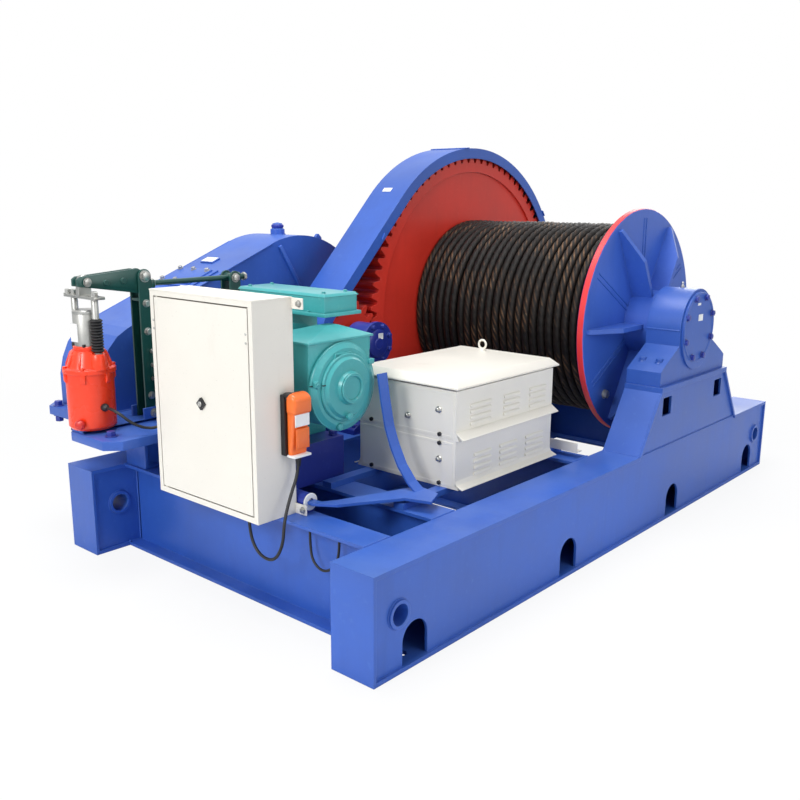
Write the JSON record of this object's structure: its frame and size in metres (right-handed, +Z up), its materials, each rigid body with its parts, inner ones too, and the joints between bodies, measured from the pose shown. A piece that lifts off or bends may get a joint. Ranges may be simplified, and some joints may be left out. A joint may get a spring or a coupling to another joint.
{
  "type": "mooring winch",
  "caption": "Electric mooring winch: a rope drum with an open gear pair, gearbox, drum brake, slip-ring motor, control cabinet and resistor boxes on a welded base frame.",
  "frame": {"origin": "centre of the outermost anchor bolts, on the floor", "axes": "+X along the drum from the gear to the free end, -Y towards the control cabinet, +Z up"},
  "size_m": [2.205, 3.539, 1.824],
  "materials": {
    "frame_blue": "satin blue enamel",
    "machine_blue": "satin dark blue enamel",
    "gear_red": "red enamel",
    "motor_teal": "teal enamel",
    "brake_green": "dark green enamel",
    "thruster_red": "orange-red enamel",
    "sheet_white": "off-white powder coat",
    "machined_steel": "bare machined steel",
    "wire_rope": "greased steel wire rope",
    "cable_black": "black rubber sheath",
    "plastic_black": "matt black",
    "plastic_orange": "orange"
  },
  "bodies": {
    "root": {"right_side_beam": "frame_blue", "left_side_beam": "frame_blue", "lifting_tubes": "frame_blue", "front_cross_beam": "frame_blue", "second_cross_beam": "frame_blue", "third_cross_beam": "frame_blue", "rear_cross_beam": "frame_blue", "inner_girder": "frame_blue", "gearbox_outrigger": "frame_blue", "drum_pedestal_right": "frame_blue", "drum_pedestal_left": "frame_blue", "drum_bearing_right": "machine_blue", "drum_bearing_left": "machine_blue", "drum_bearing_covers": "machine_blue", "pinion_bearing": "machine_blue", "gear_guard": "frame_blue", "guard_legs": "frame_blue", "gearbox_housing": "frame_blue", "gearbox_base": "frame_blue", "brake_wheel": "machined_steel", "brake_stand": "frame_blue", "brake_base": "frame_blue", "brake_arm_front": "brake_green", "brake_arm_rear": "brake_green", "brake_tie_rod": "brake_green", "thruster_body": "thruster_red", "thruster_cylinder": "machined_steel", "motor_body": "motor_teal", "motor_stand": "machine_blue", "motor_terminal_box": "motor_teal", "slip_ring_housing": "motor_teal", "motor_end_cover": "motor_teal", "cabinet_shell": "sheet_white", "pendant_holder": "plastic_black", "pendant": "plastic_orange", "resistor_box_lower": "sheet_white", "resistor_box_upper": "sheet_white", "resistor_lid": "sheet_white", "resistor_rails": "frame_blue", "cross_angle": "sheet_white", "pedal_tube": "machine_blue", "pedal": "frame_blue", "pendant_cable": "cable_black", "slip_ring_cable": "cable_black", "thruster_cable": "cable_black"},
    "drum": {"drum_shaft": "machined_steel", "drum_barrel": "machine_blue", "rope_winding": "wire_rope", "drum_flange": "frame_blue", "drum_gear": "gear_red"},
    "pinion": {"pinion_shaft": "machined_steel", "pinion_coupling": "machine_blue", "drive_pinion": "gear_red"},
    "door": {"cabinet_door": "sheet_white", "door_lock": "plastic_black"},
    "lever": {"brake_lever": "brake_green"},
    "push_rod": {"thruster_rod": "machined_steel"}
  },
  "joints": [
    {"name": "drum_spin", "type": "hinge", "parent": "root", "child": "drum", "pos_m": [0, 0.665, 0.93], "axis": [1, 0, 0], "continuous": true},
    {"name": "pinion_spin", "type": "hinge", "parent": "root", "child": "pinion", "pos_m": [0, -0.35057, 0.835], "axis": [1, 0, 0], "continuous": true},
    {"name": "cabinet_door_swing", "type": "hinge", "parent": "root", "child": "door", "pos_m": [-0.265, -1.634, 0.79], "axis": [0, 0, -1], "range_deg": [0, 110]},
    {"name": "brake_release", "type": "hinge", "parent": "root", "child": "lever", "pos_m": [-0.66, -1.452, 1.215], "axis": [-1, 0, 0], "range_deg": [0, 9]},
    {"name": "thruster_lift", "type": "slide", "parent": "root", "child": "push_rod", "axis": [0, 0, 1], "range_m": [0, 0.045]}
  ],
  "couplings": [
    {"joint": "pinion_spin", "follows": "drum_spin", "ratio": -4.6667},
    {"joint": "thruster_lift", "follows": "brake_release", "m_per_rad": 0.263}
  ]
}
